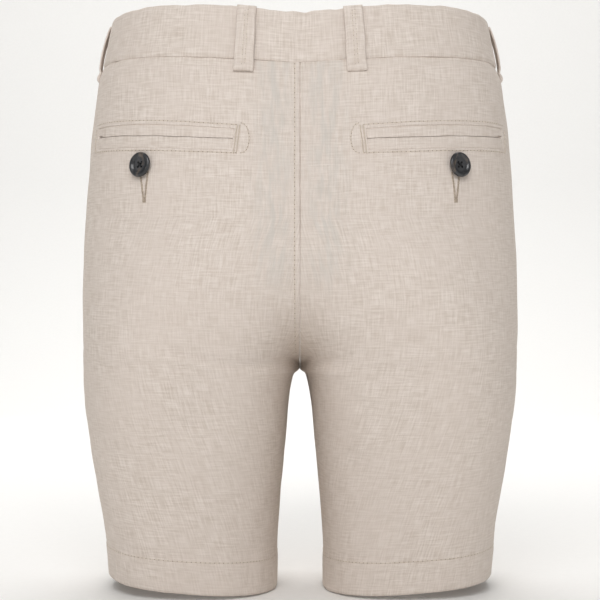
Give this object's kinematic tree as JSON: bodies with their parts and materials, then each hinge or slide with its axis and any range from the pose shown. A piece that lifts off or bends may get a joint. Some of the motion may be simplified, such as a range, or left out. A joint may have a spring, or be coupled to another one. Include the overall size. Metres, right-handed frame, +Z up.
{
  "type": "bermuda shorts",
  "caption": "Knee-length tailored linen shorts in a hollow worn form, with a looped waistband, a closed fly and buttoned welt pockets at the back.",
  "frame": {"origin": "middle of the waist opening, about halfway up the waistband, where the wearer's waist holds the garment", "axes": "+Z up, the wearer's front faces -Y, the wearer's left is +X"},
  "size_m": [0.2734, 0.1946, 0.358],
  "materials": {
    "linen": "plain-woven slub linen",
    "dark_horn": "polished imitation horn",
    "zip_tape": "woven tape with a closed coil"
  },
  "bodies": {
    "root": {"back_panel_left": "linen", "back_panel_right": "linen", "belt_loop_back_left": "linen", "belt_loop_back_right": "linen", "belt_loop_front_left": "linen", "belt_loop_front_right": "linen", "belt_loop_side_left": "linen", "belt_loop_side_right": "linen", "fly_zip": "zip_tape", "front_panel_left": "linen", "front_panel_right": "linen", "pocket_button_left": "dark_horn", "pocket_button_right": "dark_horn", "waistband": "linen", "waistband_button": "dark_horn", "welt_lower_left": "linen", "welt_lower_right": "linen", "welt_upper_left": "linen", "welt_upper_right": "linen"}
  },
  "joints": []
}
